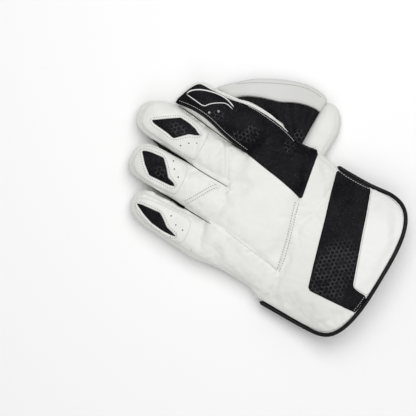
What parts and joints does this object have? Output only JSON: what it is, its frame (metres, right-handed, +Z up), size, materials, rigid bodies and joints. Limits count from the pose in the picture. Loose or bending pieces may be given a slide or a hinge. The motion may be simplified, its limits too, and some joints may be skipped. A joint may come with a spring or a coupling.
{
  "type": "wicketkeeping glove",
  "caption": "Left-hand wicketkeeping glove resting on its palm, with a padded leather back, a webbed thumb and a long open gauntlet cuff.",
  "frame": {"origin": "the middle of the glove's footprint, on the surface it lies on", "axes": "+X towards the thumb, +Y towards the fingertips, +Z up from the palm to the back of the hand"},
  "size_m": [0.2616, 0.3628, 0.0599],
  "materials": {
    "white_leather": "soft white grained leather, satin",
    "gloss_leather": "smooth white coated leather, semi-gloss",
    "black_leather": "black leather with a faint printed honeycomb",
    "black_binding": "black edge binding",
    "rubber_facing": "black pimpled rubber facing, matt"
  },
  "bodies": {
    "root": {"palm_facing": "rubber_facing", "hand_shell": "white_leather", "little_stall": "white_leather", "ring_stall": "white_leather", "middle_stall": "white_leather", "index_stall": "white_leather", "thumb_stall": "white_leather", "little_cap": "white_leather", "ring_cap": "white_leather", "middle_cap": "white_leather", "little_diamond": "black_leather", "ring_diamond": "black_leather", "middle_diamond": "black_leather", "web_border": "white_leather", "web_insert": "black_leather", "back_panel": "white_leather", "index_cover": "black_leather", "cuff_back": "white_leather", "cuff_palm": "black_leather", "cuff_band": "black_leather", "cuff_shield": "gloss_leather", "cuff_binding": "black_binding", "cuff_palm_binding": "black_binding"}
  },
  "joints": []
}
